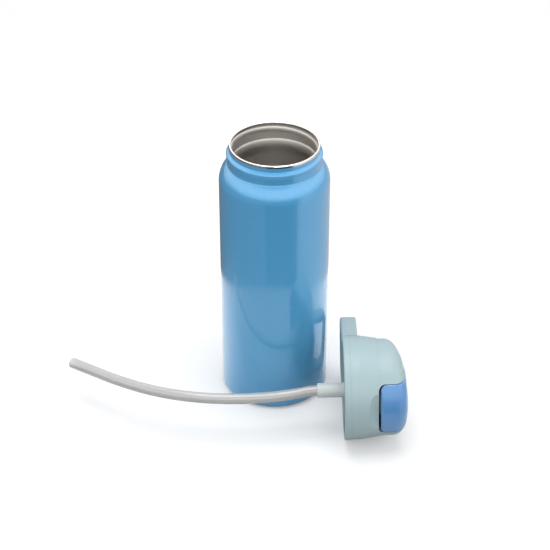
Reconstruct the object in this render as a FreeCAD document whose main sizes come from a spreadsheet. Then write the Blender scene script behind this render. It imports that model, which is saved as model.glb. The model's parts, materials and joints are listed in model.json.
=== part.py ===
import FreeCAD, Part
import Sketcher
import math
import os

# Insulated steel bottle standing upright, with its screw lid taken off and lying on its side
# in front of it.  Millimetres, +Z up, origin at the centre of the bottle's base.
# The bottle's pieces are turned about Z.  The lid's pieces are drawn in the lid's own frame
# (origin at the centre of the open rim, +Z towards the crown, +X towards the flip cover's
# front edge, -X towards the carry loop) and are then laid down by one shared placement.

SIZES = {
    # outer shell
    "body_radius": 36.5,
    "rim_height": 190.4,
    "shell_wall": 0.8,
    "base_round": 5.0,
    "base_turn_in": 8.5,
    "shoulder_drop": 19.8,
    "shoulder_round": 17.0,
    "shoulder_inner_drop": 0.3,
    "neck_wall": 1.5,
    "neck_foot_drop": 13.9,
    "neck_inner_rise": 0.4,
    "neck_round": 1.5,
    "bead_rise": 1.0,
    "bead_foot_drop": 9.2,
    "bead_low_drop": 7.4,
    "bead_high_drop": 6.2,
    "bead_top_drop": 4.4,
    "bead_round": 1.5,
    # inner liner with the rolled drinking lip
    "mouth_radius": 28.3,
    "liner_wall": 0.6,
    "neck_gap": 0.1,
    "lip_width": 1.3,
    "lip_height": 1.8,
    "lip_round": 0.6,
    "vacuum_gap": 2.2,
    "liner_floor": 11.0,
    "liner_floor_round": 8.0,
    "liner_shoulder_drop": 24.2,
    "liner_neck_drop": 19.2,
    "liner_shoulder_round": 7.0,
    # pressed base, the vacuum seal and the getter
    "cup_thickness": 0.8,
    "cup_edge_gap": 0.2,
    "cup_rib_inner": 18.0,
    "cup_rib_outer": 24.0,
    "cup_rib_slope": 2.0,
    "cup_rib_height": 2.6,
    "seal_radius": 13.0,
    "getter_radius": 6.0,
    "getter_thickness": 1.5,
    # where the lid lies
    "lid_beside": 9.4,
    "lid_in_front": 21.5,
    "lid_yaw": 0.35,
    "lid_tilt": 1.6,
    "lid_roll": 5.7,
    # lid shell
    "skirt_gap": 0.3,
    "skirt_wall": 3.2,
    "skirt_edge": 4.0,
    "skirt_step": 0.3,
    "skirt_straight": 10.7,
    "skirt_top": 22.3,
    "skirt_taper": 2.15,
    "skirt_round": 0.8,
    "band_step": 0.1,
    "band_half_width": 23.5,
    "band_foot": 15.0,
    "panel_depth": 0.6,
    "panel_round": 5.0,
    "crown_radius": 94.0,
    "crown_top": 42.0,
    "crown_shift": 12.5,
    "crown_round": 8.7,
    "lid_wall": 2.6,
    "cavity_wall": 6.5,
    "deck_under": 14.9,
    "deck_thickness": 2.2,
    "channel_height": 2.5,
    "floor_wall": 2.5,
    "trough_round": 4.5,
    "trough_wall": 3.5,
    "scoop_half_width": 16.0,
    "scoop_radius": 7.0,
    "scoop_depth": 2.6,
    # carry loop
    "loop_reach": 62.0,
    "loop_bite": 4.0,
    "loop_half_width": 24.0,
    "loop_band": 5.0,
    "loop_thickness": 11.0,
    "loop_round": 13.0,
    "loop_edge_round": 1.4,
    # hinge
    "pin_place": -1.2,
    "pin_drop": 7.5,
    "pin_radius": 1.25,
    "pin_bite": 1.8,
    "pin_fit": 0.02,
    "hinge_fit": 0.06,
    "tail_radius": 9.8,
    "tail_gap": 0.5,
    # flip cover
    "cover_half_width": 18.2,
    "cover_gap": 0.5,
    "cover_rise": 0.3,
    "cover_wall": 2.2,
    "cover_depth": 14.2,
    "cover_front_gap": 1.4,
    "cover_front_length": 4.0,
    "cover_slope_length": 6.0,
    "cover_corner_round": 4.0,
    "cover_edge_round": 1.5,
    "filler_radius": 11.0,
    "filler_depth": 5.5,
    "pad_radius": 8.0,
    "pad_thickness": 1.5,
    # lid core and gasket
    "core_gap": 0.3,
    "plug_gap": 0.9,
    "plug_wall": 2.2,
    "plug_foot": 3.0,
    "gasket_thickness": 1.8,
    "gasket_overlap": 1.2,
    "gasket_inset": 0.7,
    "gasket_round": 0.5,
    "socket_wall": 1.3,
    "socket_foot": 6.0,
    "channel_wall": 2.0,
    "channel_margin": 2.5,
    "vent_place": -15.0,
    "vent_hole": 1.6,
    "vent_fit": 0.1,
    "vent_head": 4.2,
    "vent_knob": 2.2,
    "vent_thickness": 1.1,
    "air_hole": 1.0,
    "air_hole_place": 23.0,
    # mouthpiece
    "spout_place": 12.0,
    "spout_bore": 3.4,
    "spout_neck": 5.1,
    "spout_neck_fit": 0.1,
    "spout_flange": 9.5,
    "spout_flange_thickness": 1.6,
    "spout_foot_radius": 7.2,
    "spout_tip_radius": 6.2,
    "spout_gap": 0.3,
    "spout_round": 1.2,
    "collar_width": 2.5,
    "collar_cover": 1.6,
    "collar_gap": 0.2,
    # straw and its sleeve
    "straw_place": 2.8,
    "straw_radius": 3.6,
    "straw_wall": 0.5,
    "straw_end_gap": 0.2,
    "sleeve_fit": 0.06,
    "sleeve_wall": 1.2,
    "sleeve_stop": 10.0,
    "sleeve_foot": 17.5,
    "sleeve_round": 0.5,
    "straw_lead": 0.5,
    "straw_kink_radius": 20.0,
    "straw_kink_angle": 17.5,
    "straw_bow_radius": 145.0,
    "straw_bow_angle": 46.5,
    "straw_ease_radius": 216.0,
    "straw_ease_angle": 7.4,
    "straw_end_run": 30.0,
}

document = FreeCAD.newDocument("InsulatedBottle")
sheet = document.addObject("Spreadsheet::Sheet", "Sizes")
for row, (alias, number) in enumerate(SIZES.items(), start=1):
    sheet.set(f"A{row}", alias)
    sheet.set(f"B{row}", str(number))
    sheet.setAlias(f"B{row}", alias)
document.recompute()


class Length:
    """A size that knows its number and the sheet expression that gives it."""

    def __init__(self, value, text):
        self.value = value
        self.text = text

    def __add__(self, other):
        other = as_length(other)
        return Length(self.value + other.value, f"({self.text} + {other.text})")

    def __sub__(self, other):
        other = as_length(other)
        return Length(self.value - other.value, f"({self.text} - {other.text})")

    def __mul__(self, factor):
        return Length(self.value * factor, f"({self.text} * {factor})")

    def __neg__(self):
        return Length(-self.value, f"(0 - {self.text})")


def as_length(number):
    """A Length as it is, or a plain number wrapped as one."""
    if isinstance(number, Length):
        return number
    return Length(float(number), str(number))


class Sheet:
    """Gives each alias of the sheet as a Length: size.body_radius."""

    def __getattr__(self, alias):
        return Length(float(sheet.get(alias)), f"Sizes.{alias}")


size = Sheet()

# ---- places that follow from the sizes ------------------------------------------------------

# the bottle: from the body inwards, from the mouth outwards and from the rim down
shell_inside = size.body_radius - size.shell_wall
shell_opening = size.body_radius - size.base_turn_in
liner_outside = shell_inside - size.vacuum_gap
liner_radius = liner_outside - size.liner_wall
mouth_outside = size.mouth_radius + size.liner_wall
lip_radius = size.mouth_radius + size.lip_width
lip_seat = size.rim_height - size.lip_height
neck_inner_radius = mouth_outside + size.neck_gap
neck_radius = neck_inner_radius + size.neck_wall
neck_foot = size.rim_height - size.neck_foot_drop
shoulder_height = size.rim_height - size.shoulder_drop
bead_radius = neck_radius + size.bead_rise
liner_shoulder = size.rim_height - size.liner_shoulder_drop
liner_neck = size.rim_height - size.liner_neck_drop

# the lid's levels, up from its open rim
deck_top = size.deck_under + size.deck_thickness
floor_under = deck_top + size.channel_height
floor_top = floor_under + size.floor_wall
flange_top = floor_top + size.spout_flange_thickness
pin_height = size.crown_top - size.pin_drop
filler_under = size.crown_top - size.filler_depth
pad_under = filler_under - size.pad_thickness
spout_tip = pad_under - size.spout_gap

# the lid's radii and widths, out from the neck that it closes on
skirt_bore = bead_radius + size.skirt_gap
skirt_radius = skirt_bore + size.skirt_wall
skirt_top_radius = skirt_radius - size.skirt_taper
side_radius = skirt_top_radius - size.panel_depth
band_radius = skirt_top_radius - size.band_step
cover_radius = band_radius + size.cover_rise
trough_half_width = size.cover_half_width + size.cover_gap
pin_half_length = trough_half_width + size.pin_bite
relief_radius = size.tail_radius + size.tail_gap
plug_radius = size.mouth_radius - size.plug_gap
sleeve_bore = size.straw_radius + size.sleeve_fit
sleeve_radius = sleeve_bore + size.sleeve_wall
straw_bore = size.straw_radius - size.straw_wall
straw_top = size.sleeve_stop - size.straw_end_gap
channel_half_width = size.spout_neck + size.channel_margin

far = skirt_radius * 1.7  # past every surface of the lid's shell, for cutting blocks
over = size.lid_wall * 0.4  # how far a cut starts outside the material that it cuts

UP = FreeCAD.Vector(0, 0, 1)
ACROSS = FreeCAD.Vector(0, 1, 0)


def point(x, y, z):
    """A vector from three sizes or numbers."""
    return FreeCAD.Vector(as_length(x).value, as_length(y).value, as_length(z).value)


# ---- sketches ------------------------------------------------------------------------------

def new_body(name):
    """An empty PartDesign body."""
    return document.addObject("PartDesign::Body", name)


def new_sketch(body, role, name, lift=None):
    """A sketch on one of the body's own origin planes, lifted off it when asked."""
    sketch = body.newObject("Sketcher::SketchObject", name)
    plane = [item for item in body.Origin.OriginFeatures if item.Role == role][0]
    sketch.AttachmentSupport = [(plane, "")]
    sketch.MapMode = "FlatFace"
    if lift is not None:
        sketch.setExpression(".AttachmentOffset.Base.z", lift.text)
    return sketch


def bind(sketch, kind, where, length):
    """One dimension of the sketch, bound to the sheet."""
    index = sketch.addConstraint(Sketcher.Constraint(kind, *where, length.value))
    sketch.setExpression(f"Constraints[{index}]", length.text)


def pin_point(sketch, geometry, end, place):
    """Holds one end of a sketch element at a place given by two lengths."""
    bind(sketch, "DistanceX", (-1, 1, geometry, end), as_length(place[0]))
    bind(sketch, "DistanceY", (-1, 1, geometry, end), as_length(place[1]))


def outline(body, role, name, corners, lift=None):
    """A closed sketch of straight lines from corner to corner."""
    sketch = new_sketch(body, role, name, lift)
    spots = [point(across, up, 0) for across, up in corners]
    count = len(spots)
    for i in range(count):
        sketch.addGeometry(Part.LineSegment(spots[i], spots[(i + 1) % count]), False)
    for i in range(count):
        sketch.addConstraint(Sketcher.Constraint("Coincident", i, 2, (i + 1) % count, 1))
        pin_point(sketch, i, 1, corners[i])
    return sketch


def rings(body, role, name, centre, radii, lift=None):
    """Concentric circles about a place in the sketch."""
    sketch = new_sketch(body, role, name, lift)
    for i, radius in enumerate(radii):
        middle = point(centre[0], centre[1], 0)
        sketch.addGeometry(Part.Circle(middle, FreeCAD.Vector(0, 0, 1), radius.value), False)
        pin_point(sketch, i, 3, centre)
        bind(sketch, "Radius", (i,), radius)
    return sketch


# ---- features ------------------------------------------------------------------------------

def turned(body, name, corners):
    """Turns a closed outline of (radius, height) corners about the body's Z axis."""
    sketch = outline(body, "XZ_Plane", name + "_outline", corners)
    turn = body.newObject("PartDesign::Revolution", name)
    turn.Profile = sketch
    turn.ReferenceAxis = (sketch, ["V_Axis"])
    turn.Angle = 360
    return turn


def raised(body, name, sketch, height, midplane=False):
    """Pads a sketch by a height, or half of it each way."""
    pad = body.newObject("PartDesign::Pad", name)
    pad.Profile = sketch
    pad.setExpression("Length", as_length(height).text)
    pad.Midplane = midplane
    return pad


def cut(body, name, sketch, depth, reversed_cut=False):
    """Pockets a sketch by a depth."""
    pocket = body.newObject("PartDesign::Pocket", name)
    pocket.Profile = sketch
    pocket.setExpression("Length", as_length(depth).text)
    pocket.Reversed = reversed_cut
    document.recompute()
    if pocket.Shape.Volume >= pocket.BaseFeature.Shape.Volume:
        raise ValueError(name + " cuts nothing")
    return pocket


def edges_at(shape, places):
    """Names of the edges that pass through the places."""
    names = []
    for place in places:
        spot = Part.Vertex(place)
        for i, edge in enumerate(shape.Edges, start=1):
            if edge.distToShape(spot)[0] < 0.02 and f"Edge{i}" not in names:
                names.append(f"Edge{i}")
    return names


def rounded(body, name, base, places, radius):
    """Fillets the edges of a body's feature that pass through the places."""
    document.recompute()
    fillet = body.newObject("PartDesign::Fillet", name)
    fillet.Base = (base, edges_at(base.Shape, places))
    fillet.setExpression("Radius", radius.text)
    return fillet


def rounded_turn(body, base, rounds):
    """Fillets circles of a turned piece, each given as (radius, height, round)."""
    for i, (radius, height, fillet) in enumerate(rounds, start=1):
        base = rounded(body, f"{body.Name}_round{i}", base, [point(radius, 0, height)], fillet)
    return base


def boolean(kind, name, first, second):
    """A Part boolean of two objects."""
    result = document.addObject("Part::" + kind, name)
    result.Base = first
    result.Tool = second
    return result


def joined(name, pieces):
    """One solid from several overlapping ones."""
    result = document.addObject("Part::MultiFuse", name)
    result.Shapes = pieces
    return result


def cylinder(name, radius, length, place, direction):
    """A Part cylinder from a place along a direction."""
    rod = document.addObject("Part::Cylinder", name)
    rod.setExpression("Radius", radius.text)
    rod.setExpression("Height", as_length(length).text)
    rod.Placement.Rotation = FreeCAD.Rotation(FreeCAD.Vector(0, 0, 1), direction)
    for axis, offset in zip("xyz", place):
        rod.setExpression(f".Placement.Base.{axis}", as_length(offset).text)
    return rod


def slab(name, corners, half_width):
    """A block with an outline of (x, z) corners and a half width each way along Y."""
    body = new_body(name)
    sketch = outline(body, "XZ_Plane", name + "_outline", corners)
    return body, raised(body, name + "_pad", sketch, half_width * 2, midplane=True)


# ---- the bottle ----------------------------------------------------------------------------

def make_outer_shell():
    """Painted outer shell: straight wall, round shoulder, neck with a rolled bead."""
    body = new_body("outer_shell")
    inner_foot = neck_foot + size.neck_inner_rise
    inner_shoulder = shoulder_height - size.shoulder_inner_drop
    bead_foot = size.rim_height - size.bead_foot_drop
    bead_low = size.rim_height - size.bead_low_drop
    bead_high = size.rim_height - size.bead_high_drop
    bead_top = size.rim_height - size.bead_top_drop
    shell = turned(body, "shell", [
        (shell_opening, 0),
        (size.body_radius, 0),
        (size.body_radius, shoulder_height),
        (neck_radius, neck_foot),
        (neck_radius, bead_foot),
        (bead_radius, bead_low),
        (bead_radius, bead_high),
        (lip_radius, bead_top),
        (lip_radius, lip_seat),
        (neck_inner_radius, lip_seat),
        (neck_inner_radius, inner_foot),
        (shell_inside, inner_shoulder),
        (shell_inside, size.shell_wall),
        (shell_opening, size.shell_wall),
    ])
    rounded_turn(body, shell, [
        (size.body_radius, 0, size.base_round),
        (shell_inside, size.shell_wall, size.base_round - size.shell_wall),
        (size.body_radius, shoulder_height, size.shoulder_round),
        (shell_inside, inner_shoulder, size.shoulder_round - size.shell_wall),
        (neck_radius, neck_foot, size.neck_round),
        (bead_radius, bead_low, size.bead_round),
        (bead_radius, bead_high, size.bead_round),
        (neck_radius, bead_foot, size.bead_round),
    ])
    return body


def make_inner_liner():
    """Bare steel liner: wide flask, narrower mouth and the lip rolled over the shell."""
    body = new_body("inner_liner")
    wall = size.liner_wall
    outer_shoulder = liner_shoulder + wall * 0.4
    outer_neck = liner_neck + wall * 0.4
    liner = turned(body, "liner", [
        (0, size.liner_floor - wall),
        (liner_outside, size.liner_floor - wall),
        (liner_outside, outer_shoulder),
        (mouth_outside, outer_neck),
        (mouth_outside, lip_seat),
        (lip_radius, lip_seat),
        (lip_radius, size.rim_height),
        (size.mouth_radius, size.rim_height),
        (size.mouth_radius, liner_neck),
        (liner_radius, liner_shoulder),
        (liner_radius, size.liner_floor),
        (0, size.liner_floor),
    ])
    rounded_turn(body, liner, [
        (lip_radius, size.rim_height, size.lip_round),
        (size.mouth_radius, size.rim_height, size.lip_round),
        (liner_outside, size.liner_floor - wall, size.liner_floor_round + wall),
        (liner_radius, size.liner_floor, size.liner_floor_round),
        (liner_outside, outer_shoulder, size.liner_shoulder_round + wall),
        (liner_radius, liner_shoulder, size.liner_shoulder_round),
        (mouth_outside, outer_neck, size.liner_shoulder_round - wall),
        (size.mouth_radius, liner_neck, size.liner_shoulder_round),
    ])
    return body


def make_base_cup():
    """Pressed steel base: flat on the shell's turned-in edge, with one raised ring."""
    body = new_body("base_cup")
    thickness = size.cup_thickness
    low = size.shell_wall
    high = size.cup_rib_height
    half = thickness * 0.5
    edge = size.body_radius - size.base_round - size.cup_edge_gap
    turned(body, "cup", [
        (0, low),
        (size.cup_rib_inner - size.cup_rib_slope, low),
        (size.cup_rib_inner, high),
        (size.cup_rib_outer, high),
        (size.cup_rib_outer + size.cup_rib_slope, low),
        (edge, low),
        (edge, low + thickness),
        (size.cup_rib_outer + size.cup_rib_slope + half, low + thickness),
        (size.cup_rib_outer + half, high + thickness),
        (size.cup_rib_inner - half, high + thickness),
        (size.cup_rib_inner - size.cup_rib_slope - half, low + thickness),
        (0, low + thickness),
    ])
    return body


def make_vacuum_seal():
    """Round disc over the evacuation point, level with the ring that the bottle stands on."""
    return cylinder("vacuum_seal", size.seal_radius, size.shell_wall, (0, 0, 0), UP)


def make_getter():
    """Getter tablet inside the vacuum space, on the base's upper face."""
    foot = size.shell_wall + size.cup_thickness
    return cylinder("getter", size.getter_radius, size.getter_thickness, (0, 0, foot), UP)


# ---- the lid's crowned form -----------------------------------------------------------------

def crown_ball(name, inset):
    """Ball whose surface is the lid's slanted crown, shrunk by an inset."""
    ball = document.addObject("Part::Sphere", name)
    ball.setExpression("Radius", (size.crown_radius - inset).text)
    ball.Placement.Rotation = FreeCAD.Rotation(FreeCAD.Vector(1, 0, 0), 90)
    ball.setExpression(".Placement.Base.x", size.crown_shift.text)
    ball.setExpression(".Placement.Base.z", (size.crown_top - size.crown_radius).text)
    return ball


def crowned_form(name, foot, side_radius, inset, trim=None, rounds=()):
    """Round block under the lid's crown, with the edge of the crown rounded.

    foot lists the (radius, height) corners below the side; inset is how far the crown and
    its round edge lie inside the lid's own crown; trim is a block that keeps a part of it;
    rounds soften the block's own circles, each given as (radius, height, round).
    """
    inset = as_length(inset)
    block = new_body(name + "_block")
    above = size.crown_top + size.crown_round
    turn = turned(block, name + "_turn", foot + [(side_radius, above), (0, above)])
    rounded_turn(block, turn, rounds)
    crowned = boolean("Common", name + "_crowned", block, crown_ball(name + "_ball", inset))
    if trim is not None:
        crowned = boolean("Common", name + "_trimmed", crowned, trim)
    document.recompute()
    ball = size.crown_radius - inset
    places = []
    for side in (1, -1):
        reach = side_radius.value * side - size.crown_shift.value
        rise = math.sqrt(ball.value ** 2 - reach ** 2)
        places.append(point(side_radius.value * side, 0,
                            size.crown_top - size.crown_radius + rise))
    edge_round = (size.crown_round - inset).value
    form = document.addObject("Part::Fillet", name)
    form.Base = crowned
    form.Edges = [(int(edge[4:]), edge_round, edge_round)
                  for edge in edges_at(crowned.Shape, places)]
    document.recompute()
    return form


# ---- the lid shell --------------------------------------------------------------------------

def make_loop():
    """Carry loop: a flat D of even band, flush with the rim."""
    body = new_body("loop")
    half = size.loop_half_width
    band = size.loop_band
    root = size.loop_bite - skirt_bore
    sketch = outline(body, "XY_Plane", "loop_outline", [
        (root, -half), (-size.loop_reach, -half), (-size.loop_reach, half), (root, half)])
    pad = raised(body, "loop_pad", sketch, size.loop_thickness)
    level = size.loop_thickness
    middle = level * 0.5
    corners = [point(-size.loop_reach, half * side, middle) for side in (-1, 1)]
    outer = rounded(body, "loop_corners", pad, corners, size.loop_round)
    hole = outline(body, "XY_Plane", "loop_hole_outline", [
        (-skirt_bore, band - half), (band - size.loop_reach, band - half),
        (band - size.loop_reach, half - band), (-skirt_bore, half - band)])
    cut(body, "loop_hole", hole, size.loop_thickness, reversed_cut=True)
    inner_corners = [point(band - size.loop_reach, (half - band) * side, middle)
                     for side in (-1, 1)]
    hollow = rounded(body, "loop_inner_corners", body.Tip, inner_corners,
                     size.loop_round - band)
    rims = [point(-size.loop_reach, 0, 0), point(-size.loop_reach, 0, level),
            point(band - size.loop_reach, 0, 0), point(band - size.loop_reach, 0, level)]
    rounded(body, "loop_edges", hollow, rims, size.loop_edge_round)
    return body


def skirt_foot(last_radius):
    """Corners of the skirt's outside, from the axis up to the recessed panels."""
    inset_radius = skirt_radius - size.skirt_step
    return [
        (0, 0),
        (skirt_radius, 0),
        (skirt_radius, size.skirt_edge),
        (inset_radius, size.skirt_edge + size.skirt_step),
        (inset_radius, size.skirt_straight),
        (skirt_top_radius, size.skirt_top),
        (last_radius, size.skirt_top),
    ]


def make_band():
    """Raised band that runs from front to back over the crown, beside the flip cover."""
    foot = [(0, size.band_foot), (band_radius, size.band_foot)]
    strip = new_body("band_strip")
    half = size.band_half_width
    sketch = outline(strip, "YZ_Plane", "band_strip_outline", [
        (-far, size.band_foot), (far, size.band_foot), (far, size.skirt_top),
        (half, size.skirt_top), (half, far), (-half, far),
        (-half, size.skirt_top), (-far, size.skirt_top)])
    pad = raised(strip, "band_strip_pad", sketch, far * 2, midplane=True)
    corners = [point(0, half * side, size.skirt_top) for side in (-1, 1)]
    rounded(strip, "band_strip_corners", pad, corners, size.panel_round)
    return crowned_form("band", foot, band_radius, 0, strip)


def make_trough():
    """Space that the flip cover closes: open to the front and up, round behind the pin."""
    body, pad = slab("trough_front", [
        (size.pin_place, floor_top), (far, floor_top),
        (far, far), (size.pin_place, far)], trough_half_width)
    floor_edges = [point(size.spout_place, trough_half_width * side, floor_top)
                   for side in (-1, 1)]
    rounded(body, "trough_corners", pad, floor_edges, size.trough_round)
    relief = cylinder("trough_relief", relief_radius, trough_half_width * 2,
                      (size.pin_place, -trough_half_width, pin_height), ACROSS)
    return joined("trough", [body, relief])


def make_cavity():
    """Hollow above the deck, behind and beside the trough's walls and under its floor."""
    inset = size.panel_depth + size.lid_wall
    drum = cylinder("cavity_drum", side_radius - size.cavity_wall, far,
                    (0, 0, deck_top - over), UP)
    form = boolean("Common", "cavity_form", drum, crown_ball("cavity_ball", inset))
    wall = size.trough_wall
    back = size.pin_place - relief_radius - wall
    keep = slab("trough_keep", [
        (back, floor_under), (far, floor_under), (far, far), (back, far)],
        trough_half_width + wall)[0]
    return boolean("Cut", "cavity", form, keep)


def make_scoop():
    """Finger scoop in the skirt, deepest under the cover's front edge."""
    half = size.scoop_half_width
    centre = skirt_top_radius - size.scoop_depth + size.scoop_radius
    return cylinder("scoop", size.scoop_radius, half * 2, (centre, -half, floor_top), ACROSS)


def make_lid_shell():
    """Lid shell with its skirt, recessed side panels, raised band, trough and carry loop."""
    form = crowned_form("shell_form", skirt_foot(side_radius), side_radius, size.panel_depth,
                        rounds=[(skirt_radius, 0, size.skirt_round)])
    solid = joined("shell_solid", [form, make_band(), make_loop()])
    pin_hole = cylinder("pin_hole", size.pin_radius + size.pin_fit, pin_half_length * 2,
                        (size.pin_place, -pin_half_length, pin_height), ACROSS)
    start = floor_under - over
    depth = size.floor_wall + over * 2
    tools = [
        cylinder("skirt_hollow", skirt_bore, deck_top + over, (0, 0, -over), UP),
        make_cavity(),
        make_trough(),
        make_scoop(),
        pin_hole,
        cylinder("spout_hole", size.spout_neck + size.spout_neck_fit, depth,
                 (size.spout_place, 0, start), UP),
        cylinder("floor_air_hole", size.air_hole, depth,
                 (size.air_hole_place, 0, start), UP),
    ]
    return boolean("Cut", "lid_shell", solid, joined("shell_hollows", tools))


# ---- the flip cover and its hinge -----------------------------------------------------------

def make_flip_cover():
    """Flip cover: crown-shaped cap with side walls, a front wall and a round tail."""
    half = size.cover_half_width
    side_foot = size.crown_top - size.cover_depth
    front_foot = floor_top + size.cover_front_gap
    slope_end = band_radius - size.cover_front_length
    block, pad = slab("cover_block", [
        (size.pin_place, side_foot),
        (slope_end - size.cover_slope_length, side_foot),
        (slope_end, front_foot),
        (far, front_foot),
        (far, far),
        (size.pin_place, far)], half)
    corners = [point(cover_radius, half * side, front_foot) for side in (-1, 1)]
    rounded(block, "cover_corners", pad, corners, size.cover_corner_round)
    tail = cylinder("cover_tail", size.tail_radius, half * 2,
                    (size.pin_place, -half, pin_height), ACROSS)
    foot = [(0, deck_top), (cover_radius, deck_top)]
    outside = crowned_form("cover_outside", foot, cover_radius, -size.cover_rise,
                           joined("cover_blank", [block, tail]))
    wall = size.cover_wall
    strip = slab("cover_strip", [(-far, 0), (far, 0), (far, far), (-far, far)],
                 half - wall)[0]
    inner_radius = cover_radius - wall
    inner_foot = [(0, deck_top - over), (inner_radius, deck_top - over)]
    inside = crowned_form("cover_inside", inner_foot, inner_radius,
                          wall - size.cover_rise, strip)
    hole = cylinder("cover_pin_hole", size.pin_radius + size.hinge_fit, (half + over) * 2,
                    (size.pin_place, -half - over, pin_height), ACROSS)
    hollow = boolean("Cut", "cover_hollow", outside, joined("cover_hollows", [inside, hole]))
    document.recompute()
    front = point(cover_radius, 0, front_foot)
    edge_round = size.cover_edge_round.value
    cover = document.addObject("Part::Fillet", "flip_cover")
    cover.Base = hollow
    cover.Edges = [(int(edge[4:]), edge_round, edge_round)
                   for edge in edges_at(hollow.Shape, [front])]
    return cover


def make_cover_liner():
    """Round filler under the cover: follows the crown above and is flat below."""
    drum = cylinder("liner_drum", size.filler_radius, size.crown_top,
                    (size.spout_place, 0, filler_under), UP)
    ball = crown_ball("liner_ball", size.cover_wall - size.cover_rise)
    return boolean("Common", "cover_liner", drum, ball)


def make_cover_pad():
    """Soft disc that presses on the mouthpiece when the cover is shut."""
    return cylinder("cover_pad", size.pad_radius, size.pad_thickness,
                    (size.spout_place, 0, pad_under), UP)


def make_hinge_pin():
    """Steel pin across the rails, through the cover's side walls."""
    return cylinder("hinge_pin", size.pin_radius, pin_half_length * 2,
                    (size.pin_place, -pin_half_length, pin_height), ACROSS)


# ---- inside the lid -------------------------------------------------------------------------

def stadium(body, name, start, end, half_width, lift):
    """A closed outline along X with round ends, between two places on the X axis."""
    sketch = new_sketch(body, "XY_Plane", name, lift)
    normal = FreeCAD.Vector(0, 0, 1)
    quarter = math.pi / 2
    ends = [(start, quarter, 3 * quarter), (end, -quarter, quarter)]
    for place, first, last in ends:
        circle = Part.Circle(point(place, 0, 0), normal, half_width.value)
        sketch.addGeometry(Part.ArcOfCircle(circle, first, last), False)
    for side in (1, -1):
        sketch.addGeometry(Part.LineSegment(point(start, half_width * side, 0),
                                            point(end, half_width * side, 0)), False)
    sketch.addConstraint(Sketcher.Constraint("Tangent", 0, 1, 2, 1))
    sketch.addConstraint(Sketcher.Constraint("Tangent", 2, 2, 1, 2))
    sketch.addConstraint(Sketcher.Constraint("Tangent", 1, 1, 3, 2))
    sketch.addConstraint(Sketcher.Constraint("Tangent", 3, 1, 0, 2))
    pin_point(sketch, 0, 3, (start, 0))
    pin_point(sketch, 1, 3, (end, 0))
    bind(sketch, "Radius", (0,), half_width)
    return sketch


def make_lid_core():
    """Lid core: deck, threaded plug, straw socket below and drinking channel above."""
    body = new_body("lid_core")
    plug_bore = plug_radius - size.plug_wall
    deck_radius = skirt_bore - size.core_gap
    turned(body, "core", [
        (0, size.deck_under),
        (plug_bore, size.deck_under),
        (plug_bore, size.plug_foot),
        (plug_radius, size.plug_foot),
        (plug_radius, size.deck_under),
        (deck_radius, size.deck_under),
        (deck_radius, deck_top),
        (0, deck_top),
    ])
    straw_axis = (size.straw_place, 0)
    socket = rings(body, "XY_Plane", "socket_ring", straw_axis,
                   [sleeve_radius + size.socket_wall, sleeve_radius], size.socket_foot)
    raised(body, "socket", socket, size.deck_under - size.socket_foot)
    start = size.straw_place
    end = size.spout_place
    half = channel_half_width
    channel = stadium(body, "channel_rim", start, end, half, deck_top)
    raised(body, "channel", channel, size.channel_height)
    inner = stadium(body, "channel_inner", start, end, half - size.channel_wall,
                    deck_top)
    cut(body, "channel_bore", inner, size.channel_height, reversed_cut=True)
    drink_hole = rings(body, "XY_Plane", "drink_hole_ring", straw_axis,
                       [straw_bore], deck_top)
    cut(body, "drink_hole", drink_hole, size.deck_thickness)
    vent = rings(body, "XY_Plane", "vent_ring", (size.vent_place, 0), [size.vent_hole],
                 deck_top)
    cut(body, "vent", vent, size.deck_thickness)
    return body


def make_neck_gasket():
    """Soft ring that seals the deck on the bottle's lip."""
    body = new_body("neck_gasket")
    foot = size.deck_under - size.gasket_thickness
    inner = size.mouth_radius - size.gasket_inset
    outer = lip_radius + size.gasket_overlap
    ring = turned(body, "gasket", [
        (inner, foot),
        (outer, foot),
        (outer, size.deck_under),
        (inner, size.deck_under),
    ])
    rounded_turn(body, ring, [
        (inner, foot, size.gasket_round),
        (outer, foot, size.gasket_round),
    ])
    return body


def make_mouthpiece():
    """Soft drinking spout with a flange on the trough's floor and a neck through it."""
    body = new_body("mouthpiece")
    spout = turned(body, "spout", [
        (size.spout_bore, floor_under),
        (size.spout_neck, floor_under),
        (size.spout_neck, floor_top),
        (size.spout_flange, floor_top),
        (size.spout_flange, flange_top),
        (size.spout_foot_radius, flange_top),
        (size.spout_tip_radius, spout_tip),
        (size.spout_bore, spout_tip),
    ])
    rounded_turn(body, spout, [(size.spout_tip_radius, spout_tip, size.spout_round)])
    return body


def make_mouthpiece_collar():
    """Hard ring that holds the mouthpiece's flange down."""
    body = new_body("mouthpiece_collar")
    flange_side = size.spout_flange + size.collar_gap
    foot_side = size.spout_foot_radius + size.collar_gap
    outside = size.spout_flange + size.collar_width
    top = flange_top + size.collar_cover
    turned(body, "collar", [
        (flange_side, floor_top),
        (outside, floor_top),
        (outside, top),
        (foot_side, top),
        (foot_side, flange_top),
        (flange_side, flange_top),
    ])
    return body


def make_vent_valve():
    """Umbrella valve that lets air in: head under the deck, stem and knob above it."""
    body = new_body("vent_valve")
    under = size.deck_under
    stem = size.vent_hole - size.vent_fit
    turned(body, "valve", [
        (0, under - size.vent_thickness),
        (size.vent_head, under - size.vent_thickness * 0.5),
        (size.vent_head, under),
        (stem, under),
        (stem, deck_top),
        (size.vent_knob, deck_top),
        (size.vent_knob, deck_top + size.vent_thickness),
        (0, deck_top + size.vent_thickness),
    ])
    return body


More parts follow.
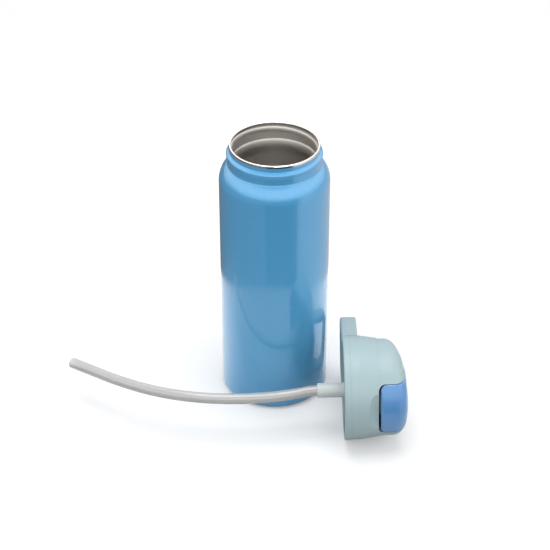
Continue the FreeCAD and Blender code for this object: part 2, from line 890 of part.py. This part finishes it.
def make_straw_sleeve():
    """Soft sleeve between the lid's socket and the straw, with a stop inside."""
    body = new_body("straw_sleeve")
    sleeve = turned(body, "sleeve", [
        (sleeve_bore, -size.sleeve_foot),
        (sleeve_radius, -size.sleeve_foot),
        (sleeve_radius, size.deck_under),
        (straw_bore, size.deck_under),
        (straw_bore, size.sleeve_stop),
        (sleeve_bore, size.sleeve_stop),
    ])
    rounded_turn(body, sleeve, [(sleeve_radius, -size.sleeve_foot, size.sleeve_round)])
    return body


def make_straw():
    """Stiff bent tube: straight in the sleeve, a short bend, a long bow and a straight end.

    The route lies in the lid's own XZ plane and is made of runs and arcs that touch
    smoothly: each arc turns the route by its angle, towards +X first and then towards -X.
    """
    heading = 0.0
    spot = FreeCAD.Vector(0, 0, straw_top.value)
    edges = []

    def run(length):
        nonlocal spot
        along = FreeCAD.Vector(math.sin(heading), 0, -math.cos(heading))
        edges.append(Part.LineSegment(spot, spot + along * length).toShape())
        spot = spot + along * length

    def bend(radius, turn):
        nonlocal spot, heading
        side = math.copysign(1, turn)
        towards = FreeCAD.Vector(math.cos(heading), 0, math.sin(heading)) * side
        centre = spot + towards * radius
        places = [spot]
        for share in (0.5, 1.0):
            angle = heading + math.radians(turn) * share
            away = FreeCAD.Vector(math.cos(angle), 0, math.sin(angle)) * -side
            places.append(centre + away * radius)
        edges.append(Part.Arc(*places).toShape())
        heading += math.radians(turn)
        spot = places[-1]

    run(straw_top.value + size.sleeve_foot.value + size.straw_lead.value)
    bend(size.straw_kink_radius.value, size.straw_kink_angle.value)
    bend(size.straw_bow_radius.value, -size.straw_bow_angle.value)
    bend(size.straw_ease_radius.value, -size.straw_ease_angle.value)
    run(size.straw_end_run.value)
    route = Part.Wire(edges)
    start = FreeCAD.Vector(0, 0, straw_top.value)
    down = FreeCAD.Vector(0, 0, -1)
    outer_radius = size.straw_radius.value
    inner_radius = outer_radius - size.straw_wall.value
    tubes = [route.makePipeShell([Part.Wire(Part.makeCircle(radius, start, down))], True, True)
             for radius in (outer_radius, inner_radius)]
    straw = document.addObject("Part::Feature", "straw")
    straw.Shape = tubes[0].cut(tubes[1])
    section = math.pi * (outer_radius ** 2 - inner_radius ** 2)
    if abs(straw.Shape.Volume - section * route.Length) > 0.01 * straw.Shape.Volume:
        raise ValueError("the straw's volume is not its section times its length")
    return straw


# ---- putting the pieces in place ------------------------------------------------------------

def lying_lid():
    """Placement of the lid's frame: on its side, touching the ground with its rim."""
    yaw = FreeCAD.Rotation(FreeCAD.Vector(0, 0, 1), size.lid_yaw.value)
    lay = FreeCAD.Rotation(FreeCAD.Vector(0, 1, 0), 90 - size.lid_tilt.value)
    roll = FreeCAD.Rotation(FreeCAD.Vector(0, 0, 1), -90 - size.lid_roll.value)
    place = point(size.body_radius + size.lid_beside, -skirt_radius - size.lid_in_front,
                  skirt_radius)
    return FreeCAD.Placement(place, yaw * lay * roll)


def shifted(x):
    """Placement of a piece whose axis is off the lid's axis, towards the front."""
    return FreeCAD.Placement(point(x, 0, 0), FreeCAD.Rotation())


BOTTLE_PIECES = [make_outer_shell, make_inner_liner, make_base_cup, make_vacuum_seal,
                 make_getter]
LID_PIECES = [
    (make_lid_shell, 0),
    (make_lid_core, 0),
    (make_neck_gasket, 0),
    (make_mouthpiece, size.spout_place),
    (make_mouthpiece_collar, size.spout_place),
    (make_vent_valve, size.vent_place),
    (make_straw_sleeve, size.straw_place),
    (make_straw, size.straw_place),
    (make_flip_cover, 0),
    (make_cover_liner, 0),
    (make_cover_pad, 0),
    (make_hinge_pin, 0),
]


def place_lid_piece(piece, offset):
    """Lays a piece down with the lid, after its own shift along the lid's X axis."""
    own = FreeCAD.Placement(piece.Placement)
    piece.Placement = lying_lid().multiply(shifted(offset)).multiply(own)


def check(pieces):
    """Stops when any object failed or any sub-part is not a valid solid."""
    for item in document.Objects:
        if "Invalid" in item.State or "Error" in item.State:
            raise ValueError(f"{item.Name} failed: {item.State}")
    for piece in pieces:
        shape = piece.Shape
        if shape.isNull() or not shape.isValid() or len(shape.Solids) != 1:
            raise ValueError(f"{piece.Label} is not one valid solid")


pieces = [make() for make in BOTTLE_PIECES]
for make, offset in LID_PIECES:
    piece = make()
    document.recompute()
    if piece.TypeId == "Part::Cylinder":
        piece.setExpression(".Placement.Base.x", None)
        piece.setExpression(".Placement.Base.y", None)
        piece.setExpression(".Placement.Base.z", None)
    place_lid_piece(piece, offset)
    pieces.append(piece)
document.recompute()
for piece in pieces:
    piece.Label = piece.Name
check(pieces)
os.makedirs("parts", exist_ok=True)
for piece in pieces:
    piece.Shape.exportStep(f"parts/{piece.Name}.step")
    box = piece.Shape.BoundBox
    print(f"{piece.Name}: {piece.Shape.Volume:.0f} mm3, "
          f"x {box.XMin:.1f}..{box.XMax:.1f}, y {box.YMin:.1f}..{box.YMax:.1f}, "
          f"z {box.ZMin:.1f}..{box.ZMax:.1f}")
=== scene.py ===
import json
import math

import bpy
import numpy as np
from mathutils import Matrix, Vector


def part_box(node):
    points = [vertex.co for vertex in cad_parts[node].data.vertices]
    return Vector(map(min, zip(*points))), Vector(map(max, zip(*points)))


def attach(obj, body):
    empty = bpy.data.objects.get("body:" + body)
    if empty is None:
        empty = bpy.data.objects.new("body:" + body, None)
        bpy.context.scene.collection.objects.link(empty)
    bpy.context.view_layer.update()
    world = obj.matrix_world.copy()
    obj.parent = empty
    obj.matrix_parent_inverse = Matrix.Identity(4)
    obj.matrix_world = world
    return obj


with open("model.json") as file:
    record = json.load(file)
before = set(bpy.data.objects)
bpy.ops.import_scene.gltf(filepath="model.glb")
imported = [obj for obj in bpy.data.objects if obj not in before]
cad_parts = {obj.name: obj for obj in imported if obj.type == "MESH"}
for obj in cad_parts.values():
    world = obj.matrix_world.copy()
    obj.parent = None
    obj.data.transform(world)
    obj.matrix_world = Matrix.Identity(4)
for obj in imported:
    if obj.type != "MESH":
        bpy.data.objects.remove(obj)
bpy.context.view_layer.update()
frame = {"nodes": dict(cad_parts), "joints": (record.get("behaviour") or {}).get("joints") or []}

nodes = frame["nodes"]

MM = 0.001
LINEAR_BREAK = 0.04045  # where the sRGB curve turns from its straight foot to its power
LIP_SPAN = (187.5 * MM, 189 * MM)  # heights over which turned steel becomes polished lip
THREAD_PITCH = 4.0 * MM
MIRROR_FOCUS = 18.5 * MM  # how far in front of its axis the round body gathers reflections
SHEET_END = (0.157, 0.173)  # metres from the focus over which reflections leave the near sheet
FAR_FLOOR = (0.4, 1.2)  # metres from the focus over which the seen floor brightens to white


# ---- materials -----------------------------------------------------------------------------

def linear(hex_colour):
    """An sRGB hex colour as linear red, green, blue and alpha."""
    channels = [int(hex_colour[i:i + 2], 16) / 255 for i in (1, 3, 5)]
    return [c / 12.92 if c <= LINEAR_BREAK else ((c + 0.055) / 1.055) ** 2.4
            for c in channels] + [1.0]


def add(material, kind, settings=None, links=None):
    """Adds one shader node: settings are attributes or input values, links are inputs."""
    tree = material.node_tree
    node = tree.nodes.new(kind)
    for name, value in (settings or {}).items():
        if name in node.inputs:
            node.inputs[name].default_value = value
        else:
            setattr(node, name, value)
    for name, output in (links or {}).items():
        tree.links.new(output, node.inputs[name])
    return node


def new_material(name):
    """An empty node material with its output."""
    material = bpy.data.materials.new(name)
    material.use_nodes = True
    material.node_tree.nodes.clear()
    output = add(material, "ShaderNodeOutputMaterial")
    return material, output


def finish_material(material, output, settings, normal=None):
    """Adds the Principled shader, joins it to the output and returns it."""
    links = {"Normal": normal.outputs["Normal"]} if normal else {}
    shader = add(material, "ShaderNodeBsdfPrincipled", settings, links)
    material.node_tree.links.new(shader.outputs["BSDF"], output.inputs["Surface"])
    return shader


def smooth_step(material, value, low, high, start=0.0, end=1.0):
    """The value taken from the range low..high to start..end, eased at both ends."""
    step = add(material, "ShaderNodeMapRange", {
        "interpolation_type": "SMOOTHSTEP", "From Min": low, "From Max": high,
        "To Min": start, "To Max": end}, {"Value": value})
    return step.outputs["Result"]


def combine(material, operation, first, second):
    """One sum, product or other operation on two node outputs or numbers."""
    node = add(material, "ShaderNodeMath", {"operation": operation})
    for socket, value in zip(node.inputs, (first, second)):
        if isinstance(value, (int, float)):
            socket.default_value = value
        else:
            material.node_tree.links.new(value, socket)
    return node.outputs["Value"]


def fine_grain(material, size_mm, depth_mm, detail=3.0):
    """A bump of even grain, size_mm across and depth_mm deep."""
    place = add(material, "ShaderNodeTexCoord")
    noise = add(material, "ShaderNodeTexNoise",
                {"Scale": 1 / (size_mm * MM), "Detail": detail},
                {"Vector": place.outputs["Object"]})
    return add(material, "ShaderNodeBump", {"Distance": depth_mm * MM, "Strength": 1.0},
               {"Height": noise.outputs["Fac"]})


def baked_enamel():
    """Pearl enamel under clear lacquer: fine flakes scatter blue light, and the smooth lacquer
    over them, with the faint waves of a sprayed coat, mirrors the room in white."""
    material, output = new_material("blue pearl enamel")
    place = add(material, "ShaderNodeTexCoord")
    flake_size = 0.35 * MM
    flakes = add(material, "ShaderNodeTexVoronoi", {"Scale": 1 / flake_size},
                 {"Vector": place.outputs["Object"]})
    tint = add(material, "ShaderNodeMix", {
        "data_type": "RGBA", "A": linear("#4ea0d2"), "B": linear("#56a8da")})
    random_shade = add(material, "ShaderNodeSeparateColor", links={
        "Color": flakes.outputs["Color"]})
    material.node_tree.links.new(random_shade.outputs["Red"], tint.inputs["Factor"])
    flake_tilt = add(material, "ShaderNodeBump", {"Distance": 0.004 * MM},
                     {"Height": flakes.outputs["Distance"]})
    shader = finish_material(material, output, {
        "Metallic": 0.2, "Roughness": 0.34, "Coat Weight": 1.0, "Coat Roughness": 0.03,
        "Coat IOR": 1.7}, flake_tilt)
    waves = fine_grain(material, 2.5, 0.003, 2.0)
    link = material.node_tree.links.new
    link(tint.outputs["Result"], shader.inputs["Base Color"])
    link(waves.outputs["Normal"], shader.inputs["Coat Normal"])
    return material


def turned_stainless():
    """Stainless steel turned on a lathe: rings that spread light up and down, a polished lip."""
    material, output = new_material("turned stainless steel")
    place = add(material, "ShaderNodeTexCoord")
    ring_height, ring_length = 0.4 * MM, 1000 / 60 * MM
    stretch = add(material, "ShaderNodeMapping",
                  {"Scale": (1 / ring_length, 1 / ring_length, 1 / ring_height)},
                  {"Vector": place.outputs["Object"]})
    rings = add(material, "ShaderNodeTexNoise", {"Scale": 1.0, "Detail": 3.0},
                {"Vector": stretch.outputs["Vector"]})
    axes = add(material, "ShaderNodeSeparateXYZ", links={"Vector": place.outputs["Object"]})
    lip = smooth_step(material, axes.outputs["Z"], *LIP_SPAN)
    turned = smooth_step(material, rings.outputs["Fac"], 0.25, 0.75, 0.38, 0.52)
    spread = add(material, "ShaderNodeMix", {"data_type": "FLOAT", "B": 0.2},
                 {"Factor": lip, "A": turned})
    round_axis = add(material, "ShaderNodeTangent", {"direction_type": "RADIAL", "axis": "Z"})
    normal = add(material, "ShaderNodeBump", {"Distance": 0.004 * MM},
                 {"Height": rings.outputs["Fac"]})
    tone = add(material, "ShaderNodeMix", {
        "data_type": "RGBA", "A": linear("#d2cec8"), "B": linear("#f6f2ec")}, {"Factor": lip})
    shader = finish_material(material, output, {
        "Metallic": 1.0, "Anisotropic": 0.75, "Anisotropic Rotation": 0.25}, normal)
    link = material.node_tree.links.new
    link(tone.outputs["Result"], shader.inputs["Base Color"])
    link(spread.outputs["Result"], shader.inputs["Roughness"])
    link(round_axis.outputs["Tangent"], shader.inputs["Tangent"])
    return material


def moulded_polypropylene(name, colour, roughness, coat=0.0):
    """Moulded polypropylene: a satin skin with a very fine spark-eroded grain."""
    material, output = new_material(name)
    normal = fine_grain(material, 0.35, 0.006)
    finish_material(material, output, {
        "Base Color": linear(colour), "Roughness": roughness, "IOR": 1.49,
        "Subsurface Weight": 0.05, "Subsurface Scale": 0.5 * MM,
        "Coat Weight": coat, "Coat Roughness": 0.15}, normal)
    return material


def clear_silicone():
    """Food-grade silicone rubber: milky, soft and barely shiny."""
    material, output = new_material("milky silicone")
    normal = fine_grain(material, 0.6, 0.004)
    finish_material(material, output, {
        "Base Color": linear("#e3e9e9"), "Roughness": 0.35, "IOR": 1.41,
        "Transmission Weight": 0.3}, normal)
    return material


def straw_polyethylene():
    """Extruded low-density polyethylene: a cloudy tube with a clear shine along its top."""
    material, output = new_material("cloudy polyethylene")
    normal = fine_grain(material, 1.5, 0.004)
    finish_material(material, output, {
        "Base Color": linear("#d4d4d2"), "Roughness": 0.25, "IOR": 1.51,
        "Transmission Weight": 0.45, "Coat Weight": 1.0, "Coat Roughness": 0.08}, normal)
    return material


def dress(names, material):
    """Gives CAD nodes their material."""
    for name in names:
        mesh = nodes[name].data
        mesh.materials.clear()
        mesh.materials.append(material)


enamel = baked_enamel()
steel = turned_stainless()
sage = moulded_polypropylene("sage polypropylene", "#9cb2b6", 0.42)
pale_sage = moulded_polypropylene("pale sage polypropylene", "#9fb4b6", 0.45)
cover_blue = moulded_polypropylene("blue polypropylene", "#5189c0", 0.35, 1.0)
silicone = clear_silicone()
straw_plastic = straw_polyethylene()

dress(["outer_shell"], enamel)
dress(["inner_liner", "base_cup", "vacuum_seal", "getter", "hinge_pin"], steel)
dress(["lid_shell"], sage)
dress(["lid_core", "mouthpiece_collar", "cover_liner"], pale_sage)
dress(["neck_gasket", "mouthpiece", "vent_valve", "cover_pad", "straw_sleeve"], silicone)
dress(["straw"], straw_plastic)
dress(["flip_cover"], cover_blue)


# ---- screw threads --------------------------------------------------------------------------

def surface(name, points, faces, material, body):
    """A smooth-shaded mesh from arrays of points and faces, riding on a body."""
    mesh = bpy.data.meshes.new(name)
    mesh.from_pydata(points.tolist(), [], faces)
    mesh.polygons.foreach_set("use_smooth", np.ones(len(mesh.polygons), bool))
    mesh.materials.append(material)
    piece = bpy.data.objects.new(name, mesh)
    bpy.context.collection.objects.link(piece)
    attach(piece, body)
    return piece


def thread_rib(name, origin, axes, radius, bottom, start, turns, tall, deep, material, body):
    """A thread's rib. Its middle line is a helix: from its start angle it goes round the axis
    at one radius and rises by one pitch a turn. Round that line every section is an ellipse,
    deep across the wall and tall along the axis, which narrows to a point at both ends."""
    steps, sides = 240, 16
    taper_rate = 10  # each end narrows over a tenth of the rib
    along = np.linspace(0, 1, steps + 1)[1:-1, None]
    about = np.linspace(0, 2 * np.pi, sides + 1)[None, :-1]
    fade = np.sin(np.minimum(np.minimum(along, 1 - along) * taper_rate, 1) * np.pi / 2)
    angle = start + 2 * np.pi * turns * along + 0 * about
    reach = radius + deep * fade * np.cos(about)
    height = bottom + THREAD_PITCH * turns * along + tall * fade * np.sin(about)
    rings = np.stack([reach * np.cos(angle), reach * np.sin(angle), height], -1).reshape(-1, 3)
    top = bottom + THREAD_PITCH * turns
    finish = start + 2 * np.pi * turns
    ends = np.array([[radius * np.cos(start), radius * np.sin(start), bottom],
                     [radius * np.cos(finish), radius * np.sin(finish), top]])
    points = np.concatenate([rings, ends]) @ axes + origin
    row = np.arange(steps - 2)[:, None] * sides
    here = np.arange(sides)[None, :]
    after = (here + 1) % sides
    walls = np.stack([row + here, row + sides + here, row + sides + after, row + after], -1)
    first_point, last_point = len(rings), len(rings) + 1
    far = (steps - 2) * sides
    caps = [(first_point, j, (j + 1) % sides) for j in range(sides)]
    caps += [(last_point, far + (j + 1) % sides, far + j) for j in range(sides)]
    return surface(name, points, walls.reshape(-1, 4).tolist() + caps, material, body)


def pressed_ring(name, radius, height, tall, deep, material, body):
    """A ring pressed inwards: an ellipse, deep across the wall and tall along the axis, turned
    once round the axis at one radius, closed both ways."""
    around, sides = 160, 16
    angle = np.linspace(0, 2 * np.pi, around + 1)[:-1, None]
    about = np.linspace(0, 2 * np.pi, sides + 1)[None, :-1]
    reach = radius + deep * np.cos(about) + 0 * angle
    rise = height + tall * np.sin(about) + 0 * angle
    points = np.stack([reach * np.cos(angle), reach * np.sin(angle), rise], -1).reshape(-1, 3)
    row = np.arange(around)[:, None]
    here = np.arange(sides)[None, :]
    row_after, after = (row + 1) % around * sides, (here + 1) % sides
    row = row * sides
    walls = np.stack([row + here, row_after + here, row_after + after, row + after], -1)
    return surface(name, points, walls.reshape(-1, 4).tolist(), material, body)


joints = {joint["name"]: joint for joint in frame["joints"]}
lid_up = -np.array(joints["straw_pull"]["axis"])
lid_across = -np.array(joints["cover_hinge"]["axis"])
lid_axes = np.stack([np.cross(lid_across, lid_up), lid_across, lid_up])
gasket_low, gasket_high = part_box("neck_gasket")
gasket_middle = (np.array(gasket_low) + np.array(gasket_high)) / 2
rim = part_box("inner_liner")[1].z

thread_rib("neck_thread", np.array([0, 0, rim]), np.eye(3), 28.5 * MM, -7.1 * MM,
           -np.pi / 2, 0.95, 2.0 * MM, 1.0 * MM, steel, "bottle")
pressed_ring("neck_stop_ring", 28.4 * MM, rim - 15.6 * MM, 3.4 * MM, 1.2 * MM, steel,
             "bottle")
thread_rib("plug_thread", gasket_middle, lid_axes, 27.35 * MM, -9.5 * MM, 0.0,
           1.25, 1.3 * MM, 0.7 * MM, pale_sage, "lid")


# ---- floor, light and camera ----------------------------------------------------------------

def bearing(material, x, y):
    """Degrees to the right of straight ahead of the bottle."""
    ahead = combine(material, "MULTIPLY", y, -1.0)
    return combine(material, "MULTIPLY", combine(material, "ARCTAN2", x, ahead), 180 / math.pi)


def make_floor():
    """A wide white sheet. For mirror rays it carries a painted reflection of a studio: light
    near the bottle, lighter beside it than in front, and beyond its end dark but for a strip at
    the right and a weak one at the left, painted lights that the enamel mirrors. For diffuse
    rays it is greyer, painted shade that takes bounce light from the undersides of things above
    it.
    Sides are in degrees from straight ahead."""
    mesh = bpy.data.meshes.new("studio_floor")
    half = 6.0
    mesh.from_pydata([(-half, -half, 0), (half, -half, 0), (half, half, 0), (-half, half, 0)],
                     [], [(0, 1, 2, 3)])
    floor = bpy.data.objects.new("studio_floor", mesh)
    bpy.context.collection.objects.link(floor)
    material, output = new_material("white studio sheet")
    place = add(material, "ShaderNodeTexCoord")
    axes = add(material, "ShaderNodeSeparateXYZ", links={"Vector": place.outputs["Object"]})
    y = combine(material, "ADD", axes.outputs["Y"], MIRROR_FOCUS)
    x = axes.outputs["X"]
    side = bearing(material, x, y)
    reach = combine(material, "SQRT", combine(material, "ADD", combine(
        material, "MULTIPLY", x, x), combine(material, "MULTIPLY", y, y)), 0)
    # painted reflection: bright strips at the right and, weaker, at the left, mirrored by the
    # enamel
    right = smooth_step(material, side, 45, 51, 0.0, 0.5)
    left = smooth_step(material, side, -22, -17, 0.12, 0.0)
    beyond = combine(material, "MAXIMUM", right, left)
    turn = combine(material, "ABSOLUTE", side, 0)
    beside = smooth_step(material, turn, 50, 120, 0.5, 1.0)
    on_sheet = smooth_step(material, reach, *SHEET_END, 1.0, 0.0)
    sheet = add(material, "ShaderNodeMix", {"data_type": "FLOAT"},
                {"Factor": on_sheet, "A": beyond, "B": beside}).outputs["Result"]
    path = add(material, "ShaderNodeLightPath")
    # greyer for diffuse rays: painted shade, so less light bounces up under the bottle and lid
    lit = add(material, "ShaderNodeMix", {"data_type": "FLOAT", "A": 0.93, "B": 0.45},
              {"Factor": path.outputs["Is Diffuse Ray"]})
    tone = add(material, "ShaderNodeMix", {"data_type": "FLOAT"}, {
        "Factor": path.outputs["Is Glossy Ray"], "A": lit.outputs["Result"], "B": sheet})
    grey = add(material, "ShaderNodeCombineColor")
    for channel in ("Red", "Green", "Blue"):
        material.node_tree.links.new(tone.outputs["Result"], grey.inputs[channel])
    shader = finish_material(material, output, {"Roughness": 0.9, "Specular IOR Level": 0.1})
    glow = add(material, "ShaderNodeEmission", {"Strength": 1.0})
    lift = add(material, "ShaderNodeMixShader")
    far_off = smooth_step(material, reach, *FAR_FLOOR, 0.22, 1.0)
    share = combine(material, "MULTIPLY", path.outputs["Is Camera Ray"], far_off)
    link = material.node_tree.links.new
    link(grey.outputs["Color"], shader.inputs["Base Color"])
    link(share, lift.inputs["Fac"])
    link(shader.outputs["BSDF"], lift.inputs[1])
    link(glow.outputs["Emission"], lift.inputs[2])
    link(lift.outputs["Shader"], output.inputs["Surface"])
    mesh.materials.append(material)


def make_softbox(name, place, target, size, watts, mirrored=False):
    """A rectangular lamp aimed at a point; the studio round it stands for it in reflections."""
    data = bpy.data.lights.new(name, "AREA")
    data.shape = "RECTANGLE"
    data.size, data.size_y = size
    data.energy = watts
    lamp = bpy.data.objects.new(name, data)
    lamp.location = place
    aim = Vector(target) - Vector(place)
    lamp.rotation_euler = aim.to_track_quat("-Z", "Y").to_euler()
    lamp.visible_glossy = mirrored
    bpy.context.collection.objects.link(lamp)


def make_world():
    """White past the floor for the camera and through clear pieces, dim white as light. For
    mirror rays it is a studio, bright behind, overhead, at the right and low all round."""
    world = bpy.data.worlds.new("studio")
    world.use_nodes = True
    world.node_tree.nodes.clear()
    path = add(world, "ShaderNodeLightPath")
    place = add(world, "ShaderNodeTexCoord")
    axes = add(world, "ShaderNodeSeparateXYZ", links={"Vector": place.outputs["Generated"]})
    x, y, z = (axes.outputs[axis] for axis in "XYZ")
    behind = smooth_step(world, y, -0.1, 0.4, 0.0, 0.9)
    overhead = smooth_step(world, y, -0.05, 0.25, 0.0, 1.5)
    low_wall = combine(world, "MULTIPLY", smooth_step(world, z, -0.1, 0.29, 0.0, 1.4),
                       smooth_step(world, z, 0.68, 0.9, 1.0, 0.05))
    right = smooth_step(world, bearing(world, x, y), 40, 50, 0.0, 0.9)
    seen = combine(world, "MAXIMUM", combine(world, "MAXIMUM", behind, low_wall), right)
    seen = combine(world, "MAXIMUM", seen, combine(
        world, "MULTIPLY", overhead, smooth_step(world, z, 0.6, 0.75)))
    clear = combine(world, "MAXIMUM", path.outputs["Is Camera Ray"],
                    path.outputs["Is Transmission Ray"])
    mirror = add(world, "ShaderNodeBackground", {"Color": (1, 1, 1, 1)}, {"Strength": seen})
    dim = add(world, "ShaderNodeBackground", {"Color": (1, 1, 1, 1), "Strength": 0.54})
    white = add(world, "ShaderNodeBackground", {"Color": (1, 1, 1, 1), "Strength": 1.0})
    glossy = add(world, "ShaderNodeMixShader")
    mix = add(world, "ShaderNodeMixShader")
    output = add(world, "ShaderNodeOutputWorld")
    link = world.node_tree.links.new
    link(path.outputs["Is Glossy Ray"], glossy.inputs["Fac"])
    link(dim.outputs["Background"], glossy.inputs[1])
    link(mirror.outputs["Background"], glossy.inputs[2])
    link(clear, mix.inputs["Fac"])
    link(glossy.outputs["Shader"], mix.inputs[1])
    link(white.outputs["Background"], mix.inputs[2])
    link(mix.outputs["Shader"], output.inputs["Surface"])
    bpy.context.scene.world = world


def make_camera():
    """Above and in front of the bottle, a long lens looking down at a third of a right angle."""
    data = bpy.data.cameras.new("camera")
    data.lens = 109.1
    data.sensor_width = 36
    camera = bpy.data.objects.new("camera", data)
    camera.location = (0.0003, -0.9351, 0.7260)
    camera.rotation_euler = (math.radians(90 - 34.32), 0, 0)
    bpy.context.collection.objects.link(camera)
    bpy.context.scene.camera = camera


make_floor()
make_softbox("overhead", (-0.05, 0, 1.5), (-0.05, 0, 0), (1.1, 1.1), 13, mirrored=True)
make_softbox("right", (1.1, -0.5, 0.7), (0, 0, 0.1), (1.0, 1.4), 6)
make_softbox("left", (-1.1, -0.6, 0.7), (0, 0, 0.1), (1.0, 1.2), 4)
make_softbox("front", (0, -1.3, 0.9), (0, 0, 0.05), (1.2, 0.8), 4)
make_world()
make_camera()
bpy.context.scene.view_settings.view_transform = "Standard"
